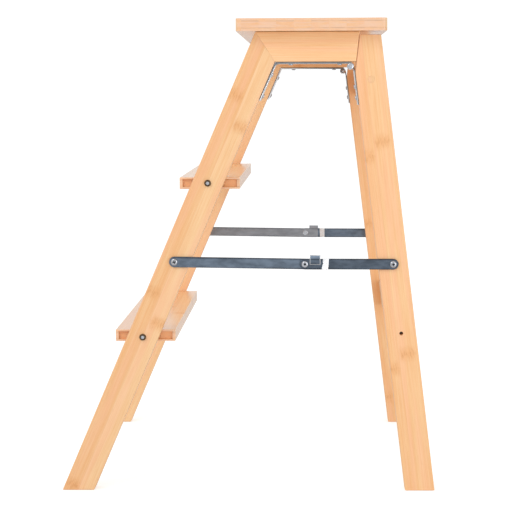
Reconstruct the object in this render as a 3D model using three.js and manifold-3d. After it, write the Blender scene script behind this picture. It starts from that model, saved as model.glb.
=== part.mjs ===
// A folding step ladder in laminated bamboo, standing open. Millimetres, +Z up, the climber faces +X,
// and the origin is on the floor under the middle of the ladder. Every piece is its own named mesh.
import * as THREE from "three";
import { mergeVertices } from "three/addons/utils/BufferGeometryUtils.js";
import Module from "manifold-3d";

const wasm = await Module();
wasm.setup();

// Driving dimensions
const HEIGHT = 690;
const FRAME_WIDTH = 430; // over the outer faces of the two side frames
const BASE_DEPTH = 549.5; // from the toe of the front stiles to the heel of the rear legs
const GAP = 0.3; // air between pieces that touch in use
const STOCK_WIDTH = 43; // stiles, aprons and rear legs are cut from one size of bar
const STOCK_THICKNESS = 22;
const FRONT_LEAN = THREE.MathUtils.degToRad(23.3);
const REAR_LEAN = THREE.MathUtils.degToRad(6.82);

const BOARD = { depth: 215.6, thickness: 18, overhang: 20, frontOverhang: 27.2, cornerRadius: 6 };
const TREAD = { depth: 88.5, thickness: 17, frontOverhang: 22.5, boltDrop: 7 };
const TREAD_TOPS = { lower: 236, upper: 461.5 };
const TREAD_POCKET = { depth: 4, sideRim: 4.6, faceRim: 2.8 };
const APRON_UNDERSIDE = 116.6; // from the stile's inner corner to the end that stops the rear leg
const SEAM_SLOPE = 0.113; // run over rise of that end face
const SEAM_GAP = 0.5;
const REAR_LEG_TOP_GAP = 5;
const PIN = { beforeSeam: 8.1, belowApron: 6.5, radius: 2.2, headRadius: 4.7, headHeight: 1.8 };
const KNUCKLE_RADIUS = 5;
const STRAP = { width: 20, thickness: 2.5, downStile: 60 };
const LEAF = { thickness: 2, length: 56 };
const HINGE_SCREW = { headRadius: 3.5, headHeight: 1.6, shankRadius: 1.7, length: 16 };
const APRON_SCREWS = [22.5, 93]; // from the stile's inner corner
const STILE_SCREWS = [19, 52];
const LEAF_SCREWS = [29.5, 45.5]; // from the pin
const SPREADER = { width: 15.5, thickness: 2, standOff: 0.8, longLength: 189.8, sag: 0.9 };
const SPREADER_HEIGHTS = { front: 339.9, rear: 336 };
const LUG = { start: 7, end: 22.5, rise: 5, tongue: 8 };
const JOGGLE = { start: 25.6, end: 34.4 };
const PIVOT_SCREW = { headRadius: 5, headHeight: 2.6, shankRadius: 2.4, length: 16 };
const RIVET = { headRadius: 4.8, headHeight: 2.2, shankRadius: 2.4, length: 4.2 };
const TREAD_BOLT = { headRadius: 4.9, headHeight: 2.8, shankRadius: 3, length: 52 };
const BARREL_NUT = { radius: 4.8, height: 14, fromEnd: 26 };
const RAIL = { height: 43, thickness: 18 };
const RAIL_HEIGHTS = { lower: 234, upper: 603 };
const RAIL_SCREW = { headRadius: 2.6, headHeight: 2.4, shankRadius: 1.8, length: 40, sink: 9 };
const PLUG = { radius: 5, depth: 5 };
const DOWEL = { radius: 4, length: 24, inBoard: 10, fromSeam: 22, fromStile: 26 };
const ROUND = 16; // sides of a drawn circle
const SCREW_ROUND = 12; // sides of a small fastener

// Heights and slopes worked out from them
const frontRun = Math.tan(FRONT_LEAN);
const rearRun = Math.tan(REAR_LEAN);
const boardUnder = HEIGHT - BOARD.thickness;
const apronTop = boardUnder - GAP;
const apronUnder = apronTop - STOCK_WIDTH;
const stileLevelWidth = STOCK_WIDTH / Math.cos(FRONT_LEAN);
const legLevelWidth = STOCK_WIDTH / Math.cos(REAR_LEAN);
const innerWidth = FRAME_WIDTH - 2 * STOCK_THICKNESS;

const at = (x, z) => new THREE.Vector2(x, z);
const stileFront = (z) => -BASE_DEPTH / 2 + z * frontRun;
const stileRear = (z) => stileFront(z) + stileLevelWidth;
const legRear = (z) => BASE_DEPTH / 2 - z * rearRun;
const legFront = (z) => legRear(z) - legLevelWidth;
const stileAxis = at(-Math.sin(FRONT_LEAN), -Math.cos(FRONT_LEAN)); // down the stile
const stileOut = at(Math.cos(FRONT_LEAN), -Math.sin(FRONT_LEAN)); // out of its rear edge
const legAxis = at(Math.sin(REAR_LEAN), -Math.cos(REAR_LEAN)); // down the rear leg
const legOut = at(-Math.cos(REAR_LEAN), -Math.sin(REAR_LEAN)); // out of its front edge
const corner = at(stileRear(apronUnder), apronUnder); // inner corner of stile and apron
const seamX = (z) => corner.x + APRON_UNDERSIDE + (z - apronUnder) * SEAM_SLOPE;
const pin = at(seamX(apronUnder) - PIN.beforeSeam, apronUnder - PIN.belowApron);
const frontPivot = at(stileFront(SPREADER_HEIGHTS.front) + stileLevelWidth / 2, SPREADER_HEIGHTS.front);
const rearPivot = at(legRear(SPREADER_HEIGHTS.rear) - legLevelWidth / 2, SPREADER_HEIGHTS.rear);
const spreaderReach = rearPivot.clone().sub(frontPivot);
const middlePivot = frontPivot
  .clone()
  .addScaledVector(spreaderReach, SPREADER.longLength / spreaderReach.length())
  .add(at(0, -SPREADER.sag));

const MATERIALS = {
  bamboo: new THREE.MeshStandardMaterial({ color: 0xf5c68c, roughness: 0.5, metalness: 0 }),
  endGrain: new THREE.MeshStandardMaterial({ color: 0xd9a263, roughness: 0.6, metalness: 0 }),
  barSteel: new THREE.MeshStandardMaterial({ color: 0x6b7383, roughness: 0.4, metalness: 1 }),
  brightSteel: new THREE.MeshStandardMaterial({ color: 0xc9ccd2, roughness: 0.25, metalness: 1 }),
  bronze: new THREE.MeshStandardMaterial({ color: 0x5a4630, roughness: 0.35, metalness: 0.9 }),
};

// Solids: plain geometry in, geometry out, joined and cut by manifold-3d
function solid(geometry) {
  const bare = geometry.clone();
  bare.deleteAttribute("normal");
  bare.deleteAttribute("uv");
  const merged = mergeVertices(bare, 1e-4);
  return new wasm.Manifold(
    new wasm.Mesh({
      numProp: 3,
      vertProperties: merged.attributes.position.array,
      triVerts: new Uint32Array(merged.index.array),
    }),
  );
}

function geometryOf(body) {
  const made = body.getMesh();
  return new THREE.BufferGeometry()
    .setAttribute("position", new THREE.BufferAttribute(made.vertProperties, 3))
    .setIndex(new THREE.BufferAttribute(made.triVerts, 1));
}

function shaped(base, { add = [], cut = [] }) {
  let body = solid(base);
  for (const piece of add) body = body.add(solid(piece));
  for (const piece of cut) body = body.subtract(solid(piece));
  return geometryOf(body);
}

function shown(geometry) {
  const faceted = geometry.index ? geometry.toNonIndexed() : geometry.clone();
  faceted.computeVertexNormals();
  return faceted;
}

// A plate drawn in the XZ plane, from side distance y0 to y1
function plate(outline, y0, y1) {
  const shape = outline instanceof THREE.Shape ? outline : new THREE.Shape(outline);
  const settings = { depth: y1 - y0, bevelEnabled: false, curveSegments: ROUND / 2 };
  return new THREE.ExtrudeGeometry(shape, settings)
    .rotateX(Math.PI / 2)
    .translate(0, y1, 0);
}

// A box between two corners
function block(x0, x1, y0, y1, z0, z1) {
  const box = new THREE.BoxGeometry(x1 - x0, y1 - y0, z1 - z0);
  return box.translate((x0 + x1) / 2, (y0 + y1) / 2, (z0 + z1) / 2);
}

// A round bar along Y
function roundBar(radius, centre, y0, y1) {
  const bar = new THREE.CylinderGeometry(radius, radius, y1 - y0, ROUND);
  return bar.translate(centre.x, (y0 + y1) / 2, centre.y);
}

// A fastener standing on its tip side: origin under the head, shank along -Y, head along +Y
function fastener({ headRadius, headHeight, shankRadius, length }, socketRadius = 0) {
  const dome = [];
  const steps = 2;
  for (let i = 0; i <= steps; i += 1) {
    const turn = (i / steps) * (Math.PI / 2);
    const radius = headRadius * (0.55 + 0.45 * Math.cos(turn));
    dome.push(at(radius, headHeight * (0.35 + 0.65 * Math.sin(turn))));
  }
  const socket = socketRadius > 0 ? [at(socketRadius, headHeight), at(socketRadius, headHeight * 0.45)] : [];
  const middle = at(0, socketRadius > 0 ? headHeight * 0.45 : headHeight);
  const profile = [at(0, -length), at(shankRadius, -length), at(shankRadius, 0), at(headRadius, 0)];
  return new THREE.LatheGeometry([...profile, ...dome, ...socket, middle], SCREW_ROUND);
}

// A straight hole or plug along a direction in the XZ plane, from a point on the surface
function drilled(radius, depth, lead, from, direction, y) {
  const geometry = new THREE.CylinderGeometry(radius, radius, depth + lead, ROUND);
  geometry.translate(0, (depth - lead) / 2, 0);
  const along = new THREE.Vector3(direction.x, 0, direction.y);
  const turn = new THREE.Quaternion().setFromUnitVectors(new THREE.Vector3(0, 1, 0), along);
  return geometry.applyQuaternion(turn).translate(from.x, y, from.y);
}

function piece(name, geometry, material) {
  const mesh = new THREE.Mesh(shown(geometry), MATERIALS[material]);
  mesh.name = name;
  return mesh;
}

// A fastener set at a place, with its head pointing along a direction
function setFastener(name, geometry, material, place, direction) {
  const mesh = piece(name, geometry, material);
  mesh.position.copy(place);
  mesh.quaternion.setFromUnitVectors(new THREE.Vector3(0, 1, 0), direction.clone().normalize());
  return mesh;
}

// Top board, with vertical dowel holes in its underside
function topBoard() {
  const x0 = stileFront(apronTop) - BOARD.frontOverhang;
  const x1 = x0 + BOARD.depth;
  const half = FRAME_WIDTH / 2 + BOARD.overhang;
  const r = BOARD.cornerRadius;
  const outline = new THREE.Shape()
    .moveTo(x0 + r, -half)
    .lineTo(x1 - r, -half)
    .absarc(x1 - r, -half + r, r, -Math.PI / 2, 0)
    .lineTo(x1, half - r)
    .absarc(x1 - r, half - r, r, 0, Math.PI / 2)
    .lineTo(x0 + r, half)
    .absarc(x0 + r, half - r, r, Math.PI / 2, Math.PI)
    .lineTo(x0, -half + r)
    .absarc(x0 + r, -half + r, r, Math.PI, Math.PI * 1.5);
  const settings = { depth: BOARD.thickness, bevelEnabled: false, curveSegments: 4 };
  const slab = new THREE.ExtrudeGeometry(outline, settings);
  slab.translate(0, 0, boardUnder);
  const holes = [];
  for (const sign of [-1, 1]) {
    for (const x of dowelPlaces()) {
      const y = sign * (FRAME_WIDTH / 2 - STOCK_THICKNESS / 2);
      const depth = DOWEL.inBoard + GAP;
      holes.push(drilled(DOWEL.radius + GAP, depth, 2, at(x, boardUnder), at(0, 1), y));
    }
  }
  return piece("top_board", shaped(slab, { cut: holes }), "bamboo");
}

function dowelPlaces() {
  return [corner.x + DOWEL.fromStile, seamX(apronUnder) - DOWEL.fromSeam];
}

function treadMiddle(top) {
  return stileFront(top) - TREAD.frontOverhang + TREAD.depth / 2;
}

// Where the tread bolt goes through the stile: on the stile's middle line, a little above the tread's
function boltPlace(top) {
  const z = top - TREAD.boltDrop;
  return at(stileFront(z) + stileLevelWidth / 2, z);
}

// A tread between the stiles, with a shallow pocket, a bolt hole and a barrel nut hole at each end
function tread(name, top) {
  const middle = treadMiddle(top);
  const half = innerWidth / 2 - GAP;
  const x0 = middle - TREAD.depth / 2;
  const x1 = middle + TREAD.depth / 2;
  const bolt = boltPlace(top);
  const cuts = [];
  for (const sign of [-1, 1]) {
    const ends = [sign * (half - TREAD_POCKET.depth), sign * (half + 1)].sort((a, b) => a - b);
    cuts.push(
      block(
        x0 + TREAD_POCKET.sideRim,
        x1 - TREAD_POCKET.sideRim,
        ends[0],
        ends[1],
        top - TREAD.thickness + TREAD_POCKET.faceRim,
        top - TREAD_POCKET.faceRim,
      ),
    );
    const deep = [sign * (half - TREAD_BOLT.length + STOCK_THICKNESS - 2), sign * half].sort((a, b) => a - b);
    cuts.push(roundBar(TREAD_BOLT.shankRadius + GAP, bolt, deep[0], deep[1]));
    const nutDepth = BARREL_NUT.height + 2 * GAP;
    const nutY = sign * (half - BARREL_NUT.fromEnd);
    const nutFoot = at(bolt.x, top - TREAD.thickness);
    cuts.push(drilled(BARREL_NUT.radius + GAP, nutDepth, 2, nutFoot, at(0, 1), nutY));
  }
  const slab = block(x0, x1, -half, half, top - TREAD.thickness, top);
  return piece(name, shaped(slab, { cut: cuts }), "bamboo");
}

// A cross rail between the rear legs, along the legs' lean, with a pilot hole at each end
function railCentre(z) {
  return at(legRear(z) - legLevelWidth / 2, z);
}

function rearRail(name, z) {
  const centre = railCentre(z);
  const half = innerWidth / 2 - GAP;
  const slab = new THREE.BoxGeometry(RAIL.thickness, 2 * half, RAIL.height);
  slab.rotateY(-REAR_LEAN).translate(centre.x, 0, centre.y);
  const depth = RAIL_SCREW.length - STOCK_THICKNESS + RAIL_SCREW.sink + 2;
  const holes = [-1, 1].map((sign) => {
    const ends = [sign * (half - depth), sign * (half + 1)].sort((a, b) => a - b);
    return roundBar(RAIL_SCREW.shankRadius + GAP, centre, ends[0], ends[1]);
  });
  return piece(name, shaped(slab, { cut: holes }), "bamboo");
}

// Side pieces are drawn in a side frame: y = 0 on the outer face, and y grows towards the ladder's middle.
const OUTWARD = new THREE.Vector3(0, -1, 0);
const sideMiddle = STOCK_THICKNESS / 2;
const hingeEdge = (STOCK_THICKNESS - STRAP.width) / 2;

function frontStile(prefix) {
  const outline = [
    at(stileFront(0), 0),
    at(stileRear(0), 0),
    corner.clone().add(at(-GAP, 0)),
    at(stileFront(apronTop), apronTop),
  ];
  const cuts = Object.values(TREAD_TOPS).map((top) =>
    roundBar(TREAD_BOLT.shankRadius + GAP, boltPlace(top), -1, STOCK_THICKNESS + 1),
  );
  cuts.push(roundBar(PIVOT_SCREW.shankRadius + GAP, frontPivot, -1, PIVOT_SCREW.length));
  for (const reach of STILE_SCREWS) cuts.push(hingeScrewHole(stileScrewFoot(reach), stileOut));
  return piece(prefix + "front_stile", shaped(plate(outline, 0, STOCK_THICKNESS), { cut: cuts }), "bamboo");
}

function sideApron(prefix) {
  const outline = [
    corner.clone(),
    at(seamX(apronUnder), apronUnder),
    at(seamX(apronTop), apronTop),
    at(stileFront(apronTop) + 2 * GAP, apronTop),
  ];
  const cuts = APRON_SCREWS.map((reach) => hingeScrewHole(apronScrewFoot(reach), at(0, -1)));
  for (const x of dowelPlaces()) {
    const depth = DOWEL.length - DOWEL.inBoard;
    cuts.push(drilled(DOWEL.radius + GAP, depth, 2, at(x, apronTop), at(0, -1), sideMiddle));
  }
  return piece(prefix + "side_apron", shaped(plate(outline, 0, STOCK_THICKNESS), { cut: cuts }), "bamboo");
}

// The rear leg's front edge is cut back along the apron's end, which stops it when the ladder is open
function rearLeg(prefix) {
  const top = boardUnder - REAR_LEG_TOP_GAP;
  const cutFoot = (legFront(0) - SEAM_GAP - seamX(0)) / (SEAM_SLOPE + rearRun);
  const outline = [
    at(legFront(0), 0),
    at(legRear(0), 0),
    at(legRear(top), top),
    at(seamX(top) + SEAM_GAP, top),
    at(legFront(cutFoot), cutFoot),
  ];
  const cuts = Object.entries(RAIL_HEIGHTS).flatMap(([level, z]) => {
    const centre = railCentre(z);
    const counterbore = level === "upper" ? PLUG.radius + GAP : RAIL_SCREW.headRadius + GAP;
    return [
      roundBar(RAIL_SCREW.shankRadius + GAP, centre, -1, STOCK_THICKNESS + 1),
      roundBar(counterbore, centre, -1, RAIL_SCREW.sink + GAP),
    ];
  });
  cuts.push(roundBar(PIVOT_SCREW.shankRadius + GAP, rearPivot, -1, PIVOT_SCREW.length));
  for (const reach of LEAF_SCREWS) cuts.push(hingeScrewHole(leafScrewFoot(reach), legOut));
  return piece(prefix + "rear_leg", shaped(plate(outline, 0, STOCK_THICKNESS), { cut: cuts }), "bamboo");
}

// Points on the wood under each hinge screw
const apronScrewFoot = (reach) => at(corner.x + reach, apronUnder);
const stileScrewFoot = (reach) => corner.clone().addScaledVector(stileAxis, reach);
const legEdgeAtPin = at(legFront(pin.y), pin.y);
const leafScrewFoot = (reach) => legEdgeAtPin.clone().addScaledVector(legAxis, reach);

function hingeScrewHole(foot, out) {
  const inwards = out.clone().negate();
  return drilled(HINGE_SCREW.shankRadius + GAP, HINGE_SCREW.length, 6, foot, inwards, sideMiddle);
}

function hingeScrew(name, foot, out, under) {
  const place = foot.clone().addScaledVector(out, under + GAP);
  const seat = new THREE.Vector3(place.x, sideMiddle, place.y);
  return setFastener(name, fastener(HINGE_SCREW), "brightSteel", seat, new THREE.Vector3(out.x, 0, out.y));
}

// The knuckles share the strap's width: the strap has the outer two and the leaf the middle one
const knuckleThird = STRAP.width / 3;
const leafKnuckle = [hingeEdge + knuckleThird + GAP, hingeEdge + 2 * knuckleThird - GAP];

// The inner corner of stile and apron, moved off both by the same distance
const offsetCorner = (d) => corner.clone().add(at(d * Math.tan(Math.PI / 4 - FRONT_LEAN / 2), -d));

// The fixed strap: along the apron's underside, round the inner corner and down the stile's rear edge
function hingeStrap(prefix) {
  const y1 = hingeEdge + STRAP.width;
  const inner = offsetCorner(GAP);
  const outer = offsetCorner(GAP + STRAP.thickness);
  const end = inner.clone().addScaledVector(stileAxis, STRAP.downStile);
  const outline = [
    inner,
    end,
    end.clone().addScaledVector(stileOut, STRAP.thickness),
    outer,
    at(pin.x + 2, outer.y),
    at(pin.x + 2, inner.y),
  ];
  const knuckles = [
    roundBar(KNUCKLE_RADIUS, pin, hingeEdge, hingeEdge + knuckleThird),
    roundBar(KNUCKLE_RADIUS, pin, y1 - knuckleThird, y1),
  ];
  const slot = block(
    pin.x - KNUCKLE_RADIUS - 1,
    pin.x + KNUCKLE_RADIUS + 1,
    leafKnuckle[0] - GAP,
    leafKnuckle[1] + GAP,
    apronUnder - STRAP.thickness - 2,
    apronUnder + 1,
  );
  const cuts = [slot, roundBar(PIN.radius + GAP, pin, -1, STOCK_THICKNESS + 1)];
  for (const reach of APRON_SCREWS) cuts.push(hingeScrewHole(apronScrewFoot(reach), at(0, -1)));
  for (const reach of STILE_SCREWS) cuts.push(hingeScrewHole(stileScrewFoot(reach), stileOut));
  const strip = plate(outline, hingeEdge, y1);
  return piece(prefix + "hinge_strap", shaped(strip, { add: knuckles, cut: cuts }), "brightSteel");
}

// The moving leaf on the rear leg's front edge, with the middle knuckle
function hingeLeaf(prefix) {
  const start = 6.5;
  const corners = (from, to) => [
    legEdgeAtPin.clone().addScaledVector(legAxis, from).addScaledVector(legOut, GAP),
    legEdgeAtPin.clone().addScaledVector(legAxis, to).addScaledVector(legOut, GAP),
    legEdgeAtPin.clone().addScaledVector(legAxis, to).addScaledVector(legOut, GAP + LEAF.thickness),
    legEdgeAtPin.clone().addScaledVector(legAxis, from).addScaledVector(legOut, GAP + LEAF.thickness),
  ].reverse();
  const strip = plate(corners(start, LEAF.length), hingeEdge, hingeEdge + STRAP.width);
  const neck = plate(corners(0, start + 1), leafKnuckle[0], leafKnuckle[1]);
  const cuts = [roundBar(PIN.radius + GAP, pin, -1, STOCK_THICKNESS + 1)];
  for (const reach of LEAF_SCREWS) cuts.push(hingeScrewHole(leafScrewFoot(reach), legOut));
  const add = [neck, roundBar(KNUCKLE_RADIUS, pin, leafKnuckle[0], leafKnuckle[1])];
  return piece(prefix + "hinge_leaf", shaped(strip, { add, cut: cuts }), "brightSteel");
}

function hingePin(prefix) {
  const shape = { headRadius: PIN.headRadius, headHeight: PIN.headHeight, shankRadius: PIN.radius };
  const geometry = fastener({ ...shape, length: STRAP.width + 1 });
  return setFastener(
    prefix + "hinge_pin",
    geometry,
    "brightSteel",
    new THREE.Vector3(pin.x, hingeEdge - GAP, pin.y),
    OUTWARD,
  );
}

function hingeScrews(prefix) {
  const down = at(0, -1);
  return [
    ...APRON_SCREWS.map((reach, i) =>
      hingeScrew(prefix + "apron_screw_" + (i + 1), apronScrewFoot(reach), down, GAP + STRAP.thickness),
    ),
    ...STILE_SCREWS.map((reach, i) =>
      hingeScrew(prefix + "stile_screw_" + (i + 1), stileScrewFoot(reach), stileOut, GAP + STRAP.thickness),
    ),
    ...LEAF_SCREWS.map((reach, i) =>
      hingeScrew(prefix + "leaf_screw_" + (i + 1), leafScrewFoot(reach), legOut, GAP + LEAF.thickness),
    ),
  ];
}

// Spreader layers, as y in the side frame, counted outwards from the stile's face
const innerLayer = [-SPREADER.standOff - SPREADER.thickness, -SPREADER.standOff];
const outerLayer = innerLayer.map((y) => y - SPREADER.thickness - GAP);
const lugLayer = [outerLayer[0] - GAP - SPREADER.thickness, outerLayer[0] - GAP];

// A flat bar from one pivot to another in its own frame: x along the bar, round at the first pivot
function barOutline(length, past, squareEnd) {
  const r = SPREADER.width / 2;
  const shape = new THREE.Shape().moveTo(0, -r);
  if (squareEnd) {
    const soft = 4;
    shape.lineTo(length + past - soft, -r);
    shape.absarc(length + past - soft, -r + soft, soft, -Math.PI / 2, 0);
    shape.lineTo(length + past, r);
  } else {
    shape.lineTo(length, -r);
    shape.absarc(length, 0, r, -Math.PI / 2, Math.PI / 2);
  }
  shape.lineTo(0, r);
  return shape.absarc(0, 0, r, Math.PI / 2, Math.PI * 1.5);
}

// Turn a piece drawn along +X from the origin so that it lies from one pivot towards another
function layAlong(geometry, from, to) {
  const turn = Math.atan2(to.y - from.y, to.x - from.x);
  return geometry.rotateY(-turn).translate(from.x, 0, from.y);
}

function longLink(prefix) {
  const length = middlePivot.distanceTo(frontPivot);
  const top = SPREADER.width / 2;
  const x0 = length + LUG.start;
  const x1 = length + LUG.end;
  const bar = plate(barOutline(length, LUG.end, true), innerLayer[0], innerLayer[1]);
  const lug = [
    block(x0, x1, innerLayer[0], innerLayer[1], 0, top + LUG.rise),
    block(x0, x1, lugLayer[0], innerLayer[1], top + LUG.rise - SPREADER.thickness, top + LUG.rise),
    block(x0, x1, lugLayer[0], lugLayer[1], top - LUG.tongue, top + LUG.rise),
  ];
  const holes = [
    roundBar(PIVOT_SCREW.shankRadius + GAP, at(0, 0), -20, 20),
    roundBar(RIVET.shankRadius + GAP, at(length, 0), -20, 20),
  ];
  const made = shaped(bar, { add: lug, cut: holes });
  return piece(prefix + "spreader_long_link", layAlong(made, frontPivot, middlePivot), "barSteel");
}

// The short link lies outside the long one at the middle pivot and steps in beside it at the joggle
function shortLink(prefix) {
  const length = middlePivot.distanceTo(rearPivot);
  const r = SPREADER.width / 2;
  const faces = new THREE.Shape([
    at(-r - 1, outerLayer[0]),
    at(JOGGLE.start, outerLayer[0]),
    at(JOGGLE.end, innerLayer[0]),
    at(length + r + 1, innerLayer[0]),
    at(length + r + 1, innerLayer[1]),
    at(JOGGLE.end, innerLayer[1]),
    at(JOGGLE.start, outerLayer[1]),
    at(-r - 1, outerLayer[1]),
  ]);
  const profile = new THREE.ExtrudeGeometry(faces, { depth: SPREADER.width + 2, bevelEnabled: false });
  profile.translate(0, 0, -r - 1);
  const outline = plate(barOutline(length, 0, false), -20, 20);
  const body = solid(profile).intersect(solid(outline));
  const holes = [
    roundBar(RIVET.shankRadius + GAP, at(0, 0), -20, 20),
    roundBar(PIVOT_SCREW.shankRadius + GAP, at(length, 0), -20, 20),
  ];
  const made = shaped(geometryOf(body), { cut: holes });
  return piece(prefix + "spreader_short_link", layAlong(made, middlePivot, rearPivot), "barSteel");
}

function spreaderFasteners(prefix) {
  const seat = (centre, y) => new THREE.Vector3(centre.x, y, centre.y);
  const stub = { ...PIVOT_SCREW, length: SPREADER.thickness + SPREADER.standOff };
  const frontSeat = seat(frontPivot, innerLayer[0] - GAP);
  const rearSeat = seat(rearPivot, innerLayer[0] - GAP);
  const middleSeat = seat(middlePivot, outerLayer[0] - GAP);
  return [
    setFastener(prefix + "spreader_front_screw", fastener(stub), "brightSteel", frontSeat, OUTWARD),
    setFastener(prefix + "spreader_rear_screw", fastener(PIVOT_SCREW), "brightSteel", rearSeat, OUTWARD),
    setFastener(prefix + "spreader_middle_rivet", fastener(RIVET), "brightSteel", middleSeat, OUTWARD),
  ];
}

function treadFasteners(prefix) {
  return Object.entries(TREAD_TOPS).flatMap(([level, top]) => {
    const place = boltPlace(top);
    const seat = new THREE.Vector3(place.x, -GAP, place.y);
    const bolt = setFastener(
      prefix + level + "_tread_bolt",
      fastener(TREAD_BOLT, TREAD_BOLT.headRadius * 0.4),
      "bronze",
      seat,
      OUTWARD,
    );
    const y = STOCK_THICKNESS + GAP + BARREL_NUT.fromEnd;
    const foot = at(place.x, top - TREAD.thickness + GAP);
    const nut = drilled(BARREL_NUT.radius, BARREL_NUT.height, 0, foot, at(0, 1), y);
    const thread = roundBar(TREAD_BOLT.shankRadius + GAP, place, y - 20, y + 20);
    return [bolt, piece(prefix + level + "_barrel_nut", shaped(nut, { cut: [thread] }), "brightSteel")];
  });
}

function railFasteners(prefix) {
  const screws = Object.entries(RAIL_HEIGHTS).map(([level, z]) => {
    const centre = railCentre(z);
    const seat = new THREE.Vector3(centre.x, RAIL_SCREW.sink, centre.y);
    return setFastener(prefix + level + "_rail_screw", fastener(RAIL_SCREW), "bronze", seat, OUTWARD);
  });
  const plug = roundBar(PLUG.radius, railCentre(RAIL_HEIGHTS.upper), GAP, PLUG.depth);
  return [...screws, piece(prefix + "rail_screw_plug", plug, "endGrain")];
}

function dowels(prefix) {
  return dowelPlaces().map((x, i) => {
    const foot = at(x, boardUnder + DOWEL.inBoard);
    const length = DOWEL.length - 2 * GAP;
    return piece(
      prefix + "board_dowel_" + (i + 1),
      drilled(DOWEL.radius, length, 0, foot, at(0, -1), sideMiddle),
      "endGrain",
    );
  });
}

// One side of the ladder. The left side is the right one mirrored in the ladder's middle plane.
function side(name, sign) {
  const group = new THREE.Group();
  const prefix = name + "_";
  group.position.y = (sign * FRAME_WIDTH) / 2;
  group.scale.y = -sign;
  group.add(frontStile(prefix), sideApron(prefix), rearLeg(prefix));
  group.add(hingeStrap(prefix), hingeLeaf(prefix), hingePin(prefix), ...hingeScrews(prefix));
  group.add(longLink(prefix), shortLink(prefix), ...spreaderFasteners(prefix));
  group.add(...treadFasteners(prefix), ...railFasteners(prefix), ...dowels(prefix));
  return group;
}

const group = new THREE.Group();
group.add(topBoard());
for (const [level, top] of Object.entries(TREAD_TOPS)) group.add(tread(level + "_tread", top));
for (const [level, z] of Object.entries(RAIL_HEIGHTS)) group.add(rearRail(level + "_rear_rail", z));
group.add(side("right", -1), side("left", 1));

export default group;
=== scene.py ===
"""A folding bamboo step ladder, standing open, in a plain white studio.

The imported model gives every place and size. Each visible CAD node is replaced by a finer piece
made from it, in metres, with procedural materials.
"""
import math

import bmesh
import bpy
from mathutils import Matrix, Vector


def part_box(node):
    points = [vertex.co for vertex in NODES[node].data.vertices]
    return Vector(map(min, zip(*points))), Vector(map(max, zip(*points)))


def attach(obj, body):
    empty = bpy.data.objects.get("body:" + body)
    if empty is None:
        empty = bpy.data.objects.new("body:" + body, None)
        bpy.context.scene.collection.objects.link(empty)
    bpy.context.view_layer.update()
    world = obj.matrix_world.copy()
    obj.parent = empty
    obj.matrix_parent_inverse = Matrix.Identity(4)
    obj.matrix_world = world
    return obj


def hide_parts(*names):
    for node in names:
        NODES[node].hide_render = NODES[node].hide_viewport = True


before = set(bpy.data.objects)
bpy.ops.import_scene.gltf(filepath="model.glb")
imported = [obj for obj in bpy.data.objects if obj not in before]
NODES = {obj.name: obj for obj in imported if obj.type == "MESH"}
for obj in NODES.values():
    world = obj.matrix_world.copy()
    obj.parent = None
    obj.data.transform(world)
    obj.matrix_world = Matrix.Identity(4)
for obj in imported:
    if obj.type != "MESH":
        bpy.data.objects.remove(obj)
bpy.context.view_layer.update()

MM = 0.001
SIDES = {"right": -1, "left": 1}
LEVELS = ("lower", "upper")
FRONT_LEAN = math.radians(23.3)
REAR_LEAN = math.radians(6.82)

# Directions: down each leaning piece, and out of the edge that the hinge is screwed to
X, Y, Z = Vector((1, 0, 0)), Vector((0, 1, 0)), Vector((0, 0, 1))
STILE_DOWN = Vector((-math.sin(FRONT_LEAN), 0, -math.cos(FRONT_LEAN)))
STILE_OUT = Vector((math.cos(FRONT_LEAN), 0, -math.sin(FRONT_LEAN)))
LEG_DOWN = Vector((math.sin(REAR_LEAN), 0, -math.cos(REAR_LEAN)))
LEG_OUT = Vector((-math.cos(REAR_LEAN), 0, -math.sin(REAR_LEAN)))

# Bamboo: strips glued side by side and in layers, with a node every so often along each strip, in mm
STRIP_WIDTH = 25.0
LAYER = 10.0
NODE_SPACING = 312.0
BAMBOO_LIGHT = (0.912, 0.620, 0.345, 1)
BAMBOO_DARK = (0.812, 0.415, 0.170, 1)
BAMBOO_PINK = (0.910, 0.478, 0.300, 1)
BAMBOO_END = (0.900, 0.440, 0.185, 1)
BAMBOO_PALE = (0.850, 0.560, 0.400, 1)
BAMBOO_MARK = (0.420, 0.190, 0.070, 1)
BAMBOO_SPOT = (0.600, 0.250, 0.075, 1)

# Metal
BAR_STEEL = (0.163, 0.206, 0.265, 1)
# Painted light: a paler steel for a bar's inner face, which shows on the far bar
BACK_LIT_STEEL = (0.290, 0.303, 0.330, 1)
BRIGHT_STEEL = (0.560, 0.580, 0.620, 1)
# Painted shade: dark grey for the hinge sheets' sides, a painted shadow line beside the wood
SIDE_SHADE_STEEL = (0.200, 0.205, 0.215, 1)
# Painted shade: near black for the recesses of screw heads and the rivet's hollow
RECESS_SHADE = (0.035, 0.037, 0.042, 1)
# Painted highlight: near-white steel for glints on rims and on the short bar's sloping step
GLINT_STEEL = (0.920, 0.935, 0.960, 1)
BRONZE = (0.110, 0.078, 0.050, 1)
SHADE_BAND_STARTS, SHADE_BAND_ENDS = (5.4, 7.4), (8.0, 8.8)  # the band of painted shade along a bar's long edges, in mm from its middle line

# Light: what the pieces get from the floor and the background, and how these look to the camera
FLOOR_GLOW = (0.16, 0.56)
BACKGROUND = (0.85, 1.1)

# Camera: its sensor and lens in mm, its place in m, and its angles in degrees
SENSOR, LENS = 36, 93.08
FRAME_SHIFT = (-0.05, -0.10)
CAMERA_PLACE = (0.0890, -2.1179, 0.5824)
CAMERA_TURN, CAMERA_DOWN, CAMERA_ROLL = 1.181, 4.76, -0.25


# ---- Materials ----

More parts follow.
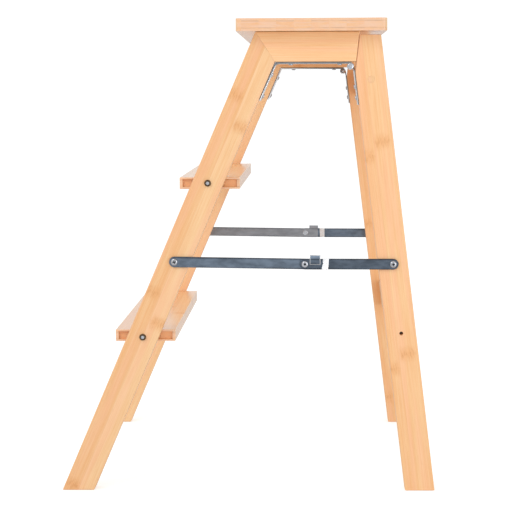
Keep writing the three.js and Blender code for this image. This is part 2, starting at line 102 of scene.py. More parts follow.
class Material:
    """A node material, with short calls for its nodes."""

    def __init__(self, name):
        self.data = bpy.data.materials.new(name)
        self.data.use_nodes = True
        self.tree = self.data.node_tree
        self.surface = self.tree.nodes["Principled BSDF"]

    def feed(self, socket, value):
        if isinstance(value, bpy.types.NodeSocket):
            self.tree.links.new(value, socket)
        else:
            socket.default_value = value

    def node(self, kind, values=(), **settings):
        made = self.tree.nodes.new("ShaderNode" + kind)
        for key, value in settings.items():
            setattr(made, key, value)
        for key, value in dict(values).items():
            self.feed(made.inputs[key], value)
        return made

    def math(self, operation, *values):
        made = self.node("Math", operation=operation)
        for socket, value in zip(made.inputs, values):
            self.feed(socket, value)
        return made.outputs[0]

    def ramp(self, value, low, high, to_low=0.0, to_high=1.0):
        """A smooth step of value from low to high."""
        made = self.node("MapRange", interpolation_type="SMOOTHSTEP")
        settings = (value, low, high, to_low, to_high)
        for socket, setting in zip(made.inputs, settings):
            self.feed(socket, setting)
        return made.outputs[0]

    def mix(self, factor, a, b, blend="MIX"):
        made = self.node("Mix", data_type="RGBA", blend_type=blend)
        for index, value in ((0, factor), (6, a), (7, b)):
            self.feed(made.inputs[index], value)
        return made.outputs[2]

    def attribute(self, name):
        """The three parts of a mesh attribute, and the whole vector."""
        vector = self.node("Attribute", attribute_name=name).outputs["Vector"]
        parts = self.node("SeparateXYZ", {"Vector": vector})
        return [*parts.outputs, vector]

    def stretched(self, vector, scale):
        return self.node("VectorMath", {0: vector, 1: scale}, operation="MULTIPLY").outputs[0]

    def noise(self, vector, detail=2.0, roughness=0.5, scale=1.0):
        values = {"Vector": vector, "Scale": scale, "Detail": detail, "Roughness": roughness}
        return self.node("TexNoise", values).outputs["Fac"]

    def random(self, x, y, z):
        """A random number for each cell."""
        cell = self.node("CombineXYZ", {"X": x, "Y": y, "Z": z}).outputs[0]
        return self.node("TexWhiteNoise", {"Vector": cell}).outputs["Value"]

    def bump(self, height, distance, strength=1.0):
        values = {"Height": height, "Distance": distance, "Strength": strength}
        normal = self.node("Bump", values).outputs[0]
        self.feed(self.surface.inputs["Normal"], normal)

    def set(self, **values):
        for key, value in values.items():
            self.feed(self.surface.inputs[key.replace("_", " ")], value)


def bamboo(name, lacquer):
    """Laminated bamboo under a coat of lacquer. The mesh attribute "grain" is mm along, across and through
    the piece, and "look" is its seed, its tone, which on some pieces also carries painted light or shade,
    and how far a face is end grain."""
    m = Material(name)
    along, across, through, grain = m.attribute("grain")
    seed, tone_and_light, end, _ = m.attribute("look")
    strips = m.math("DIVIDE", across, STRIP_WIDTH)
    layers = m.math("ADD", m.math("DIVIDE", through, LAYER), 0.5)
    strip = m.math("FLOOR", strips)
    layer = m.math("FLOOR", layers)
    cell = m.math("ADD", seed, m.math("MULTIPLY", layer, 17.0))
    strip_tone = m.random(strip, layer, seed)

    strip_shift = {"X": m.math("MULTIPLY", seed, 391.0), "Y": m.math("MULTIPLY", strip, 53.0)}
    shifted = m.node("CombineXYZ", strip_shift).outputs[0]
    place = m.node("VectorMath", {0: grain, 1: shifted}, operation="ADD").outputs[0]
    broad = m.noise(m.stretched(place, (0.006, 0.10, 0.10)), 2.0)
    streak = m.noise(m.stretched(place, (0.010, 0.62, 0.62)), 3.0, 0.6)
    fibre = m.noise(m.stretched(place, (0.045, 2.6, 2.6)), 2.0, 0.6)
    dash = m.ramp(m.noise(m.stretched(place, (0.085, 1.7, 1.7)), 1.0), 0.60, 0.72)

    # Nodes: a faint wavering line across one strip, with a streaked brown patch round it
    start = m.math("MULTIPLY", m.random(strip, cell, 3.0), 9.0)
    turn = m.math("ADD", m.math("DIVIDE", along, NODE_SPACING), start)
    which = m.math("FLOOR", turn)
    present = m.math("GREATER_THAN", m.random(strip, which, cell), 0.42)
    waver = m.math("SUBTRACT", m.noise(m.stretched(place, (0.04, 0.12, 0.12))), 0.5)
    waver = m.math("MULTIPLY", waver, 6.0)
    away = m.math("MULTIPLY", m.math("SUBTRACT", m.math("FRACT", turn), 0.5), NODE_SPACING)
    away = m.math("ABSOLUTE", m.math("ADD", away, waver))
    line = m.math("MULTIPLY", m.ramp(away, 0.5, 3.6, 1.0, 0.0), present)
    patch = m.math("MULTIPLY", m.ramp(away, 0.5, 15.0, 1.0, 0.0), present)
    side = m.math("ABSOLUTE", m.math("SUBTRACT", m.math("FRACT", strips), 0.5))
    patch = m.math("MULTIPLY", patch, m.ramp(side, 0.30, 0.50, 1.0, 0.25))
    freckle = m.ramp(m.noise(m.stretched(place, (0.12, 0.62, 0.62)), 3.0, 0.6), 0.44, 0.62)
    spots = m.math("MULTIPLY", patch, freckle)

    shade = m.math("ADD", m.math("MULTIPLY", streak, 0.62), m.math("MULTIPLY", broad, 0.42))
    shade = m.math("ADD", shade, m.math("MULTIPLY", strip_tone, 0.26))
    shade = m.math("ADD", shade, m.math("MULTIPLY", fibre, 0.30))
    colour = m.mix(m.ramp(shade, 0.42, 1.18), BAMBOO_LIGHT, BAMBOO_DARK)
    blush = m.ramp(m.noise(m.stretched(place, (0.004, 0.075, 0.075)), 1.0), 0.42, 0.66)
    colour = m.mix(m.math("MULTIPLY", blush, 0.34), colour, BAMBOO_PINK)
    colour = m.mix(m.math("MULTIPLY", dash, 0.09), colour, BAMBOO_MARK)
    colour = m.mix(m.math("MULTIPLY", patch, 0.60), colour, BAMBOO_DARK)
    mark = m.math("ADD", m.math("MULTIPLY", line, 0.08), m.math("MULTIPLY", spots, 0.42))
    colour = m.mix(mark, colour, BAMBOO_SPOT)

    # Glue lines between strips and between layers
    face = m.math("ABSOLUTE", m.math("SUBTRACT", m.math("FRACT", layers), 0.5))
    glue = m.math("MAXIMUM", m.ramp(side, 0.486, 0.497), m.ramp(face, 0.450, 0.485))
    colour = m.mix(m.math("MULTIPLY", glue, 0.11), colour, BAMBOO_MARK)

    # End grain: darker with the dots of cut fibres, and on outer ends paler streaks and the layers' seams
    dots = m.ramp(m.noise(m.stretched(place, (0.4, 1.3, 1.3)), 2.0, 0.7), 0.48, 0.66)
    ply = m.noise(m.stretched(place, (0.1, 0.030, 0.42)), 3.0, 0.6)
    seam = m.math("MULTIPLY", m.ramp(face, 0.36, 0.47), m.ramp(ply, 0.40, 0.60))
    end_colour = m.mix(m.math("MULTIPLY", dots, 0.16), BAMBOO_END, BAMBOO_MARK)
    # End grain colour: real darker end grain, at full strength inside pockets also painted shade of the
    # recess
    colour = m.mix(end, colour, end_colour)
    outer = m.math("MULTIPLY", m.ramp(end, 0.0, 0.3), m.ramp(end, 0.5, 0.9, 1.0, 0.0))
    pale = m.ramp(ply, 0.36, 0.62, 0.15, 0.75)
    colour = m.mix(m.math("MULTIPLY", outer, pale), colour, BAMBOO_PALE)
    colour = m.mix(m.math("MULTIPLY", outer, m.math("MULTIPLY", seam, 0.40)), colour, BAMBOO_MARK)
    toned = m.node("CombineColor", {"Red": tone_and_light, "Green": tone_and_light, "Blue": tone_and_light}).outputs[0]
    colour = m.mix(1.0, colour, toned, "MULTIPLY")

    rough = m.math("ADD", 0.36, m.math("MULTIPLY", streak, 0.10))
    rough = m.math("ADD", rough, m.math("MULTIPLY", end, 0.18))
    height = m.math("ADD", m.math("MULTIPLY", fibre, 0.5), m.math("MULTIPLY", streak, 0.5))
    height = m.math("SUBTRACT", height, m.math("MULTIPLY", glue, 0.5))
    height = m.math("ADD", height, m.math("MULTIPLY", line, 0.8))
    m.set(Base_Color=colour, Roughness=rough, IOR=1.5, Coat_Weight=lacquer, Coat_Roughness=0.22)
    m.bump(height, 0.00012, 0.5)
    return m.data


def steel(name, base, roughness, cloud=0.16, edge=0.0, brushed=0.05, metallic=1.0):
    """Plated steel with faint clouds and brushing along it. edge is how much painted shade darkens a band
    near the long edges of a bar."""
    m = Material(name)
    _, across, _, grain = m.attribute("grain")
    seed, tone_and_light, _, _ = m.attribute("look")
    shift = m.node("CombineXYZ", {"X": m.math("MULTIPLY", seed, 77.0)}).outputs[0]
    place = m.node("VectorMath", {0: grain, 1: shift}, operation="ADD").outputs[0]
    clouds = m.noise(m.stretched(place, (0.045, 0.11, 0.11)), 4.0, 0.6)
    brush = m.noise(m.stretched(place, (0.06, 2.4, 2.4)), 3.0, 0.6)
    level = m.math("ADD", 1.0 - cloud, m.math("MULTIPLY", m.ramp(clouds, 0.30, 0.70), 2.0 * cloud))
    level = m.math("ADD", level, m.math("MULTIPLY", m.math("SUBTRACT", brush, 0.5), 2.0 * brushed))
    level = m.math("MULTIPLY", level, tone_and_light)
    if edge:
        # Painted shade: a band along each long edge of a bar is darkened
        off = m.math("ABSOLUTE", across)
        rim = m.math("MULTIPLY", m.ramp(off, *SHADE_BAND_STARTS), m.ramp(off, *SHADE_BAND_ENDS, 1.0, 0.0))
        level = m.math("MULTIPLY", level, m.math("SUBTRACT", 1.0, m.math("MULTIPLY", rim, edge)))
    grey = m.node("CombineColor", {"Red": level, "Green": level, "Blue": level}).outputs[0]
    colour = m.mix(1.0, base, grey, "MULTIPLY")
    rough = m.math("ADD", roughness - 0.05, m.math("MULTIPLY", clouds, 0.12))
    m.set(Base_Color=colour, Metallic=metallic, Roughness=rough)
    m.bump(m.math("ADD", brush, clouds), 0.00006, 0.35)
    return m.data


def floor_finish():
    """White studio paper, with a glow of its own so that it meets the background without an edge."""
    m = Material("floor")
    fleck = m.noise(m.node("TexCoord").outputs["Object"], 3.0, 0.5, 40.0)
    colour = m.mix(fleck, (0.60, 0.60, 0.60, 1), (0.64, 0.64, 0.64, 1))
    seen = m.node("LightPath").outputs["Is Camera Ray"]
    glow = m.node("MapRange", {"Value": seen, "To Min": FLOOR_GLOW[0], "To Max": FLOOR_GLOW[1]}).outputs[0]
    m.set(Base_Color=colour, Roughness=0.9, Emission_Color=(1, 1, 1, 1), Emission_Strength=glow)
    return m.data


STEP_BAMBOO = bamboo("glossy_bamboo", 1.0)
BAMBOO = bamboo("satin_bamboo", 0.1)
# Painted shade on the bars' long edges: edge 0.55 on the bar steel, 0.30 on the inner faces
BAR = steel("bar_steel", BAR_STEEL, 0.31, cloud=0.24, edge=0.55)
BACK_LIT = steel("bar_back_lit_steel", BACK_LIT_STEEL, 0.36, cloud=0.16, edge=0.30)
BRIGHT = steel("bright_steel", BRIGHT_STEEL, 0.26)
SIDE_SHADE = steel("side_shade_steel", SIDE_SHADE_STEEL, 0.40, brushed=0.15)
SHADE = steel("recess_shade_steel", RECESS_SHADE, 0.45)
RIM_GLINT = steel("rim_glint_steel", GLINT_STEEL, 0.22, cloud=0.06)
JOGGLE_GLINT = steel("joggle_glint_steel", GLINT_STEEL, 0.24, cloud=0.06, metallic=0.5)
DARK = steel("dark_bolt", BRONZE, 0.30, cloud=0.22)


# ---- Pieces ----

PLUG_SWELL = 0.26 * MM  # takes the plug out to its hole, where it is glued
MITRE_GAP = 0.298 * MM  # between a stile and its apron, closed here because they are glued
LUG_LIGHT_AND_SHADE = (1.45, 0.45)  # painted highlight at the fold and painted shade at the free edge
LUG_RISE = 5.0  # how far the lug stands above its bar, in mm
LUG_MIDDLE = 4 * MM  # above the rivet's middle, with the painted highlight of the lug's fold over it and the painted shade of its free edge under it
JOGGLE = (20 * MM, 45 * MM)  # where the short bar's sloping step is, past the rivet
BROAD = 300 * MM * MM  # the faces on both sides of the hinge strap's fold are larger than this
LEG_SHIFT = (42, 18)  # moves the legs' growth marks along and across, in mm
# Painted shade: each short bar's steel is darkened, the right one more than the left
SHORT_BAR_SHADE = {"right": 0.62, "left": 0.85}
RIVET_REACH = 0.9 * MM  # how far a rivet's flange is behind the CAD rivet's end
SHOULDER = 0.42  # the rounded part of a pan head, as a share of its radius
STEEL_HOLE_SIDE = 1.35 * MM  # the edges round the holes in sheet steel are shorter than this
TIMBER_HOLE_SIDE = 2.25 * MM  # and these round the holes in timber
OUTER_END = 0.4  # how much of the dark end grain colour a piece's outermost ends take; ends inside its pockets take it all, real end grain made darker still as painted shade of the pocket
END_DEPTH = 1.5 * MM  # an end within this of a piece's full length is outermost
SHARP_FROM = math.radians(50)  # faces that turn by more than this are shaded apart
BASE_SLOT, RIM_GLINT_SLOT, SIDE_SHADE_SLOT, BACK_LIT_SLOT, JOGGLE_GLINT_SLOT = range(5)  # materials of a sheet steel piece
RECESS_SLOT = 1  # material of a fastener's recess: painted shade, or on a hex bolt a painted glint
PLATED = (BRIGHT, "bright_steel")
BOLT = (DARK, "dark_bolt")


def cad_mesh(node):
    """A CAD node's mesh with its flat faces whole again."""
    mesh = bmesh.new()
    mesh.from_mesh(NODES[node].data)
    bmesh.ops.remove_doubles(mesh, verts=mesh.verts, dist=1e-6)
    bmesh.ops.dissolve_limit(mesh, angle_limit=math.radians(1.5), verts=mesh.verts, edges=mesh.edges)
    return mesh


def ease(mesh, edges, width, segments=2, material=-1):
    """Rounds the given edges over."""
    if not edges:
        return
    settings = {"offset": width, "segments": segments, "profile": 0.5, "affect": "EDGES"}
    bmesh.ops.bevel(mesh, geom=edges, clamp_overlap=False, material=material, **settings)


def sharp(mesh, angle=35.0):
    """The outward edges of a mesh that turn by more than the angle."""
    limit = math.radians(angle)
    return [e for e in mesh.edges if e.is_manifold and e.is_convex and e.calc_face_angle() > limit]


def finish_piece(
    name, mesh, body, material, node, slot, along=X, through=Y, seed=0, tone_and_light=1.0, extra=(), shift=(0, 0)
):
    """Turns a bmesh into a piece: smooth faces, grain coordinates, materials, and the CAD node it replaces.
    extra materials fill slots 1 and up, and shift moves the pattern along and across, in mm."""
    data = bpy.data.meshes.new(name)
    mesh.normal_update()
    mesh.to_mesh(data)
    mesh.free()
    along = along.normalized()
    across = through.cross(along).normalized()
    points = [v.co.copy() for v in data.vertices]
    low = Vector([min(p.dot(axis) for p in points) for axis in (along, across, through)])
    high = Vector([max(p.dot(axis) for p in points) for axis in (along, across, through)])
    centre = (low + high) / 2
    grain = data.attributes.new("grain", "FLOAT_VECTOR", "POINT")
    for i, point in enumerate(points):
        place = Vector((point.dot(along), point.dot(across), point.dot(through))) - centre
        grain.data[i].vector = place / MM + Vector((*shift, 0))
    look = data.attributes.new("look", "FLOAT_VECTOR", "CORNER")
    for face in data.polygons:
        end = 0.0
        if abs(face.normal.dot(along)) > 0.8:
            reach = abs(face.center.dot(along) - centre.x)
            end = OUTER_END if (high - low).x / 2 - reach < END_DEPTH else 1.0
        for corner in face.loop_indices:
            look.data[corner].vector = (seed, tone_and_light, end)
        face.use_smooth = True
    data.set_sharp_from_angle(angle=SHARP_FROM)
    for finish in (material, *extra):
        data.materials.append(finish)
    piece = bpy.data.objects.new(name, data)
    bpy.context.scene.collection.objects.link(piece)
    weighted = piece.modifiers.new("flat_faces", "WEIGHTED_NORMAL")
    weighted.keep_sharp = True
    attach(piece, body)
    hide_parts(node)
    return piece


def timber(node, body, along, through=Y, edge=1.1 * MM, seed=0, tone_and_light=1.0, keep=None, shift=(0, 0)):
    """A bamboo piece with its long arrises rounded. keep says which edges stay sharp, and shift moves the
    pattern along and across, in mm."""
    mesh = cad_mesh(node)
    if node.endswith("side_apron"):
        close_mitre(mesh)
    arrises = [e for e in sharp(mesh) if e.calc_length() > TIMBER_HOLE_SIDE]
    if keep:
        arrises = [e for e in arrises if not keep(e)]
    ease(mesh, arrises, edge, 3)
    name = node + "_bamboo"
    finish = STEP_BAMBOO if node.endswith(("board", "tread")) else BAMBOO
    return finish_piece(name, mesh, body, finish, node, "bamboo", along, through, seed, tone_and_light, shift=shift)


def close_mitre(mesh):
    """Takes the apron's slanting end to the stile that it is glued to, across the CAD's gap."""
    top = max(v.co.z for v in mesh.verts)
    bottom = min(v.co.z for v in mesh.verts)
    for z in (top, bottom):
        level = [v for v in mesh.verts if abs(v.co.z - z) < 0.01 * MM]
        front = min(v.co.x for v in level)
        for vert in level:
            if vert.co.x - front < 0.01 * MM:
                vert.co.x -= MITRE_GAP


def on_mitre(edge, node):
    """True for the edges of the glued joint between a stile and its apron."""
    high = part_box(node)[1]
    a, b = (v.co for v in edge.verts)
    lean = (b - a).normalized()
    slants = abs(lean.y) < 0.1 and abs(lean.x) > 0.2 and lean.x * lean.z < 0
    return slants and high.z - max(a.z, b.z) < 1 * MM


def timbers():
    """The board, treads, rails, stiles, aprons and legs. The left side's stiles and legs are painted a
    little paler and the aprons lighter, as painted light.
    """
    timber("top_board", "front_frame", Y, Z, 3.0 * MM, seed=1, tone_and_light=0.97)
    for index, level in enumerate(LEVELS):
        timber(level + "_tread", "front_frame", Y, Z, 0.8 * MM, seed=2 + index, tone_and_light=1.04)
        timber(level + "_rear_rail", "rear_frame", Y, LEG_OUT, 1.0 * MM, seed=4 + index, tone_and_light=0.96)
    for index, side in enumerate(SIDES):
        seed = 6 + 3 * index
        # Painted light: the left side's stile and leg are lightened by 6 percent
        pale = 1.0 + 0.06 * index
        stile, apron, leg = (side + part for part in ("_front_stile", "_side_apron", "_rear_leg"))
        timber(stile, "front_frame", STILE_DOWN, seed=seed, tone_and_light=pale, keep=lambda e: on_mitre(e, stile))
        # Painted light: every apron is lightened, against the shade under the board's overhang
        timber(apron, "front_frame", X, seed=seed + 1, tone_and_light=1.08, keep=lambda e: on_mitre(e, apron))
        timber(leg, "rear_frame", LEG_DOWN, seed=seed + 2, tone_and_light=pale * 1.04, shift=LEG_SHIFT)


def plate(node, body, material, slot, along, edge, rims, **finish):
    """A sheet steel piece with its bends and edges eased. Each of rims says which edges are rounded further,
    how wide, in how many steps, and in which material slot."""
    mesh = cad_mesh(node)
    bends = [e for e in mesh.edges if e.is_manifold and e.calc_length() > 10 * MM]
    bends = [e for e in bends if 0.12 < e.calc_face_angle() < 0.35]
    ease(mesh, bends, 0.9 * MM, 3)
    for chosen, width, steps, index in rims:
        rim = [e for e in mesh.edges if e.is_manifold and e.calc_length() > STEEL_HOLE_SIDE]
        rim = [e for e in rim if e.calc_face_angle() > 0.6 and chosen(e)]
        ease(mesh, rim, width, steps, index)
    ease(mesh, [e for e in sharp(mesh) if e.calc_length() > STEEL_HOLE_SIDE], edge)
    extra = (RIM_GLINT, SIDE_SHADE, BACK_LIT, JOGGLE_GLINT)
    return finish_piece(node + "_steel", mesh, body, material, node, slot, along, Y, extra=extra, **finish)


def runs(edge, direction):
    """True for an edge that runs along the direction."""
    a, b = (v.co for v in edge.verts)
    return abs((b - a).normalized().dot(direction)) > 0.95


def box_middle(node):
    """The middle of a CAD node's box."""
    low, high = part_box(node)
    return (low + high) / 2


def bars():
    """The two jointed bars on each side."""
    for side in SIDES:
        parts = ("front_screw", "middle_rivet", "rear_screw")
        front, middle, rear = (box_middle(f"{side}_spreader_{part}") for part in parts)
        along = rear - front
        along.y = 0
        along.normalize()
        long_bar(side, along, middle)
        short_bar(side, along, middle)


def long_bar(side, along, middle):
    """The bar from the stile to the rivet, with the lug that stops the other one. The lug's rim carries a
    painted highlight, and the bar's inner face is painted paler, as painted light."""
    node = side + "_spreader_long_link"
    low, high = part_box(node)
    outer = max(abs(low.y), abs(high.y))

    def lug_rim(edge):
        ends = [v.co for v in edge.verts]
        flush = all(outer - abs(p.y) < 0.05 * MM for p in ends)
        return edge.is_convex and flush and high.z - min(p.z for p in ends) > 1 * MM

    def lug_fold(edge):
        top = all(high.z - v.co.z < 0.05 * MM for v in edge.verts)
        return edge.is_convex and top and runs(edge, along)

    rims = [(lug_fold, 1.2 * MM, 4, BASE_SLOT), (lug_rim, 0.7 * MM, 3, RIM_GLINT_SLOT)]
    # The shift lines the painted edge shade up with the bar itself, below its lug
    finish = {"tone_and_light": 1.0, "seed": 0, "shift": (0, -LUG_RISE / 2)}
    body = side + "_long_link"
    piece = plate(node, body, BAR, "spreader_steel", along, 0.35 * MM, rims, **finish)
    # Painted light: the inner face is painted paler
    for face in piece.data.polygons:
        if face.normal.y * SIDES[side] < -0.9:
            face.material_index = BACK_LIT_SLOT
    paint_lug_light_and_shade(piece.data, outer, middle.z)


def short_bar(side, along, middle):
    """The bar from the rivet to the rear leg. The sloping step in it is painted near white, a painted
    reflection.
    """
    node = side + "_spreader_short_link"
    finish = {"tone_and_light": SHORT_BAR_SHADE[side], "seed": 1}
    body = side + "_short_link"
    piece = plate(node, body, BAR, "spreader_steel", along, 0.35 * MM, [], **finish)
    for face in piece.data.polygons:
        past = (face.center - middle).dot(along)
        slope = abs(face.normal.dot(along))
        # Painted reflection: the step's sloping faces take near-white steel
        if JOGGLE[0] < past < JOGGLE[1] and slope > 0.2 and abs(face.normal.y) > 0.7:
            face.material_index = JOGGLE_GLINT_SLOT


def paint_lug_light_and_shade(data, outer, middle):
    """Paints light and shade on the lug's outer face: a painted highlight at its fold and painted shade at
    its free edge.
    """
    look = data.attributes["look"]
    for face in data.polygons:
        if outer - abs(face.center.y) > 0.05 * MM:
            continue
        for corner in face.loop_indices:
            point = data.vertices[data.loops[corner].vertex_index].co
            seed, _, end = look.data[corner].vector
            look.data[corner].vector = (seed, LUG_LIGHT_AND_SHADE[point.z < middle + LUG_MIDDLE], end)


def looks(*directions):
    """A test for the outward edges of the faces that look in the directions."""
    def test(edge):
        return edge.is_convex and any(f.normal.dot(d) > 0.8 for f in edge.link_faces for d in directions)
    return test


def folded(convex):
    """A test for the strap's fold, the edge between its two broad faces, on its outside or its inside."""
    def test(edge):
        broad = min(f.calc_area() for f in edge.link_faces) > BROAD
        return edge.is_convex == convex and runs(edge, Y) and broad
    return test


def hinges():
    """The fixed strap and the moving leaf: painted shade on the sides that face along Y, with a painted
    highlight on the rounded edges away from the wood."""
    for side in SIDES:
        rims = [
            (folded(True), 3.9 * MM, 4, BASE_SLOT),
            (folded(False), 2.3 * MM, 3, BASE_SLOT),
            (looks(-Z, STILE_OUT), 1.6 * MM, 3, RIM_GLINT_SLOT),
        ]
        strap = plate(side + "_hinge_strap", "front_frame", *PLATED, X, 0.4 * MM, rims, seed=3)
        rims = [(looks(LEG_OUT), 0.8 * MM, 3, RIM_GLINT_SLOT)]
        leaf = plate(side + "_hinge_leaf", "rear_frame", *PLATED, LEG_DOWN, 0.4 * MM, rims, seed=4)
        for piece in (strap, leaf):
            for face in piece.data.polygons:
                # Painted shade: the sides that face along Y are painted dark
                if abs(face.normal.y) > 0.98:
                    face.material_index = SIDE_SHADE_SLOT


# ---- Fasteners ----

def turned(profile, sides=40):
    """A solid of revolution about Z. profile has (radius, height) points, from the axis at the bottom to the
    axis at the top."""
    mesh = bmesh.new()
    rings = []
    for radius, height in profile:
        if radius == 0:
            rings.append([mesh.verts.new((0, 0, height))])
            continue
        turns = [2 * math.pi * i / sides for i in range(sides)]
        rings.append([mesh.verts.new((radius * math.cos(t), radius * math.sin(t), height)) for t in turns])
    for below, above in zip(rings, rings[1:]):
        for i in range(sides):
            j = (i + 1) % sides
            if len(below) == 1:
                mesh.faces.new((below[0], above[j], above[i]))
            elif len(above) == 1:
                mesh.faces.new((below[i], below[j], above[0]))
            else:
                mesh.faces.new((below[i], below[j], above[j], above[i]))
    return mesh


def cross_cutter(radius, top, depth):
    """Two tapered blades at right angles, for a cross recess."""
    mesh = bmesh.new()
    for turn in (0, math.pi / 2):
        spin = Matrix.Rotation(turn, 4, "Z")
        half, thin = radius * 0.62, radius * 0.14
        corners = []
        for z, scale in ((top - depth, 0.55), (top + 1 * MM, 1.0)):
            for x, y in ((-1, -1), (1, -1), (1, 1), (-1, 1)):
                place = Vector((x * half * scale, y * thin * (0.5 + scale / 2), z))
                corners.append(mesh.verts.new(spin @ place))
        for face in ((3, 2, 1, 0), (4, 5, 6, 7), (0, 1, 5, 4), (1, 2, 6, 5), (2, 3, 7, 6), (3, 0, 4, 7)):
            mesh.faces.new([corners[i] for i in face])
    return mesh


def hex_cutter(across, top, depth):
    """A hexagonal socket's space."""
    mesh = bmesh.new()
    radius = across / math.sqrt(3)
    bmesh.ops.create_cone(mesh, cap_ends=True, segments=6, radius1=radius, radius2=radius, depth=depth + MM)
    bmesh.ops.translate(mesh, verts=mesh.verts, vec=(0, 0, top + (MM - depth) / 2))
    return mesh


def carve(body, cutter):
    """Cuts one bmesh out of another with a boolean, with the cut faces in RECESS_SLOT."""
    objects = []
    for face in cutter.faces:
        face.material_index = RECESS_SLOT
    for part in (body, cutter):
        bmesh.ops.recalc_face_normals(part, faces=part.faces)
        data = bpy.data.meshes.new("carving")
        part.to_mesh(data)
        part.free()
        data.materials.append(BRIGHT)
        data.materials.append(SHADE)
        made = bpy.data.objects.new("carving", data)
        bpy.context.scene.collection.objects.link(made)
        objects.append(made)
    cut = objects[0].modifiers.new("cut", "BOOLEAN")
    cut.operation = "DIFFERENCE"
    cut.solver = "EXACT"
    cut.use_self = True
    cut.object = objects[1]
    bpy.context.view_layer.update()
    result = bmesh.new()
    result.from_object(objects[0], bpy.context.evaluated_depsgraph_get())
    for made in objects:
        data = made.data
        bpy.data.objects.remove(made)
        bpy.data.meshes.remove(data)
    return result


def head_frame(node, out):
    """Where a fastener is: a frame at the top of its head with Z out, its length, and its head's radius."""
    out = out.normalized()
    side = out.cross(Y if abs(out.y) < 0.9 else X).normalized()
    up = out.cross(side)
    points = [v.co for v in NODES[node].data.vertices]
    reach = {}
    for name, axis in (("out", out), ("side", side), ("up", up)):
        values = [p.dot(axis) for p in points]
        reach[name] = (min(values), max(values))
    middle = [sum(reach[name]) / 2 for name in ("side", "up")]
    origin = out * reach["out"][1] + side * middle[0] + up * middle[1]
    turn = Matrix((side, up, out)).transposed().to_4x4()
    length = reach["out"][1] - reach["out"][0]
    radius = (reach["side"][1] - reach["side"][0]) / 2
    return Matrix.Translation(origin) @ turn, length, radius


def dome(radius, height, rise, steps=6):
    """Points up a pan head: a straight wall, then a rounded shoulder to a nearly flat top."""
    points = [(radius * 0.985, -height), (radius, -height * 0.92), (radius, -height + rise)]
    flat = radius * (1 - SHOULDER)
    for i in range(1, steps + 1):
        turn = i / steps * math.pi / 2
        level = -height + rise + (height - rise) * math.sin(turn)
        points.append((flat + (radius - flat) * math.cos(turn), level))
    return points


def tip(kind, radius, end):
    """Points from the axis out to a shank's wall. A rivet's tip is spread into a thin flange."""
    if kind != "rivet":
        return [(0, end), (radius * 0.8, end), (radius, end + 0.4 * MM)]
    wide = radius * 1.75
    top = end + 0.4 * MM
    return [(0, end), (radius * 1.4, end), (wide, end + 0.15 * MM), (wide, top), (radius, top)]


def crown(kind, radius, height):
    """Points from a head's shoulder in to the axis: a rivet's hollow, a pin's groove, or a flat top."""
    if kind == "rivet":
        return [(radius * 0.36, -0.05 * MM), (radius * 0.26, -height * 0.6), (0, -height * 0.65)]
    if kind == "plain":
        floor = -0.3 * MM
        groove = [(radius * 0.50, 0), (radius * 0.45, floor), (radius * 0.38, floor), (radius * 0.33, 0)]
        return [*groove, (0, 0)]
    return [(0, 0)]


def screw(node, body, out, head_height, shank_radius, kind, material, slot, twist=0.0, seed=0, tone_and_light=1.0):
    """A screw, bolt, pin or rivet in the place of its CAD node, with a shaped head and its recess."""
    place, length, radius = head_frame(node, out)
    end = -head_height - max(length - head_height, MM)
    if kind == "rivet":
        end -= RIVET_REACH
    profile = [*tip(kind, shank_radius, end), (shank_radius, -head_height)]
    profile += dome(radius, head_height, head_height * 0.3)
    profile += crown(kind, radius, head_height)
    mesh = turned(profile)
    # Painted shade: the rivet's hollow is painted near black
    if kind == "rivet":
        for face in mesh.faces:
            reach = max(v.co.xy.length for v in face.verts)
            if reach < radius * 0.4 and face.calc_center_median().z > -head_height:
                face.material_index = RECESS_SLOT
    if kind == "cross":
        mesh = carve(mesh, cross_cutter(radius, 0, head_height * 0.55))
    if kind == "hex":
        mesh = carve(mesh, hex_cutter(radius * 0.9, 0, head_height * 0.7))
    bmesh.ops.transform(mesh, matrix=place @ Matrix.Rotation(twist, 4, "Z"), verts=mesh.verts)
    # Painted glint: a hex socket is bright steel; the other recesses take the painted shade
    recess = BRIGHT if kind == "hex" else SHADE
    return finish_piece(node + "_turned", mesh, body, material, node, slot, X, Y, seed, tone_and_light, (recess,))


def fasteners():
    """The screws, rivets, pins and bolts, each with its head facing out."""
    for side in SIDES:
        hinge_screws(side)
        spreader_screws(side)
        out = Y * SIDES[side]
        screw(side + "_hinge_pin", "front_frame", out, 1.8 * MM, 2.2 * MM, "plain", *PLATED, seed=6)
        for level in LEVELS:
            bolt, driven = f"{side}_{level}_tread_bolt", f"{side}_{level}_rail_screw"
            screw(bolt, "front_frame", out, 2.8 * MM, 3.0 * MM, "hex", *BOLT, 0.3, 7)
            screw(driven, "rear_frame", out, 2.4 * MM, 1.8 * MM, "cross", *BOLT, 0.4, 8)


def hinge_screws(side):
    """Two screws through each of the hinge's three flats."""
    flats = (
        ("apron", -Z, "front_frame"),
        ("stile", STILE_OUT, "front_frame"),
        ("leaf", LEG_OUT, "rear_frame"),
    )
    for index, (flat, out, body) in enumerate(flats):
        for number in (1, 2):
            node = f"{side}_{flat}_screw_{number}"
            twist = 0.5 + 0.7 * number + index
            screw(node, body, out, 1.6 * MM, 1.7 * MM, "cross", *PLATED, twist, index)


def spreader_screws(side):
    """The spreader's two end screws and the rivet that joins its bars."""
    out = Y * SIDES[side]
    long_link = side + "_long_link"
    for part, body, kind, height, twist, tone_and_light in (
        ("front_screw", long_link, "cross", 2.6 * MM, 0.25, 0.85),
        ("rear_screw", "rear_frame", "cross", 2.6 * MM, 0.25, 0.85),
        ("middle_rivet", long_link, "rivet", 2.2 * MM, 0.9, 0.95),
    ):
        screw(f"{side}_spreader_{part}", body, out, height, 2.4 * MM, kind, *PLATED, twist, 5, tone_and_light)


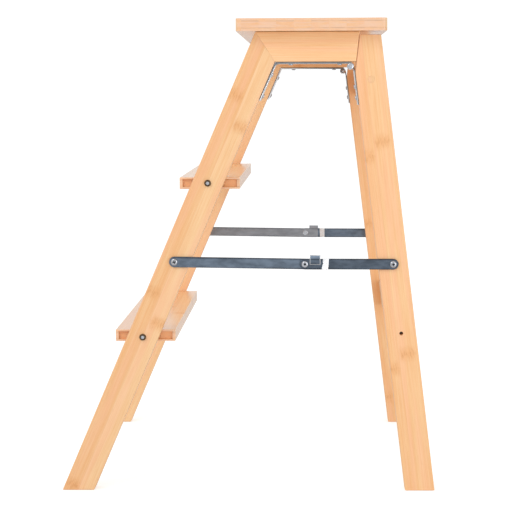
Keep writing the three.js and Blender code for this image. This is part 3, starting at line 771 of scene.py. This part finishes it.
def small_parts():
    """Barrel nuts, dowels and the plugs over the upper rail screws."""
    for side in SIDES:
        barrel_nuts(side)
        dowels(side)
        plug(side)


def barrel_nuts(side):
    """The nuts in the tread ends, which the tread bolts screw into."""
    for level in LEVELS:
        node = f"{side}_{level}_barrel_nut"
        mesh = cad_mesh(node)
        ease(mesh, [e for e in sharp(mesh) if e.calc_length() > 1.6 * MM], 0.3 * MM)
        finish_piece(node + "_turned", mesh, "front_frame", BRIGHT, node, "bright_steel", Z, Y, 9)


def dowels(side):
    """The dowels between an apron and the top board."""
    for number in (1, 2):
        node = f"{side}_board_dowel_{number}"
        mesh = cad_mesh(node)
        ease(mesh, sharp(mesh), 0.3 * MM)
        finish_piece(node + "_bamboo", mesh, "front_frame", BAMBOO, node, "bamboo_end_grain", Z, Y, 10)


def plug(side):
    """The plug over the upper rail screw, glued in tight."""
    node = side + "_rail_screw_plug"
    mesh = cad_mesh(node)
    middle = sum((v.co for v in mesh.verts), Vector()) / len(mesh.verts)
    for vert in mesh.verts:
        out = vert.co - middle
        out.y = 0
        vert.co += out.normalized() * PLUG_SWELL
    ease(mesh, sharp(mesh), 0.12 * MM)
    name = node + "_bamboo"
    finish_piece(name, mesh, "rear_frame", BAMBOO, node, "bamboo_end_grain", LEG_DOWN, Y, 11, 0.98)


# ---- Studio ----

def studio():
    """White paper under the object, a white background and two softboxes."""
    settings = bpy.context.scene.view_settings
    settings.view_transform = "Standard"
    settings.look = "None"
    paper()
    background()
    softbox("front_softbox", Vector((1.15, -2.0, 0.20)), Vector((0.10, -0.2, 0.33)), 0.8, 1.1, 11)
    softbox("high_softbox", Vector((-1.3, -1.7, 2.1)), Vector((0, 0, 0.4)), 1.2, 1.2, 16)


def paper():
    """The floor, just under the feet."""
    mesh = bmesh.new()
    bmesh.ops.create_grid(mesh, x_segments=8, y_segments=8, size=12)
    bmesh.ops.translate(mesh, verts=mesh.verts, vec=(0, 0, -0.3 * MM))
    data = bpy.data.meshes.new("floor")
    mesh.to_mesh(data)
    mesh.free()
    data.materials.append(floor_finish())
    floor = bpy.data.objects.new("floor", data)
    bpy.context.scene.collection.objects.link(floor)


def background():
    """A white world, which looks brighter to the camera than it lights the pieces."""
    world = bpy.data.worlds.new("studio")
    world.use_nodes = True
    bpy.context.scene.world = world
    tree = world.node_tree
    light = tree.nodes["Background"]
    light.inputs["Color"].default_value = (1, 1, 1, 1)
    ray = tree.nodes.new("ShaderNodeLightPath")
    strength = tree.nodes.new("ShaderNodeMapRange")
    strength.inputs["To Min"].default_value = BACKGROUND[0]
    strength.inputs["To Max"].default_value = BACKGROUND[1]
    tree.links.new(ray.outputs["Is Camera Ray"], strength.inputs["Value"])
    tree.links.new(strength.outputs[0], light.inputs["Strength"])


def softbox(name, place, target, width, height, power):
    light = bpy.data.lights.new(name, "AREA")
    light.shape = "RECTANGLE"
    light.size, light.size_y = width, height
    light.energy = power
    lamp = bpy.data.objects.new(name, light)
    bpy.context.scene.collection.objects.link(lamp)
    lamp.location = place
    lamp.rotation_euler = (target - place).to_track_quat("-Z", "Y").to_euler()
    lamp.visible_camera = False


def camera():
    """A long lens on the right side, at a height between the upper tread and the board."""
    data = bpy.data.cameras.new("camera")
    data.sensor_width = SENSOR
    data.lens = LENS
    data.shift_x, data.shift_y = FRAME_SHIFT
    view = bpy.data.objects.new("camera", data)
    bpy.context.scene.collection.objects.link(view)
    turn = Matrix.Rotation(math.radians(CAMERA_TURN), 4, "Z")
    tilt = Matrix.Rotation(math.radians(90 - CAMERA_DOWN), 4, "X")
    roll = Matrix.Rotation(math.radians(CAMERA_ROLL), 4, "Z")
    view.matrix_world = Matrix.Translation(CAMERA_PLACE) @ turn @ tilt @ roll
    bpy.context.scene.camera = view


camera()
studio()
timbers()
bars()
hinges()
fasteners()
small_parts()
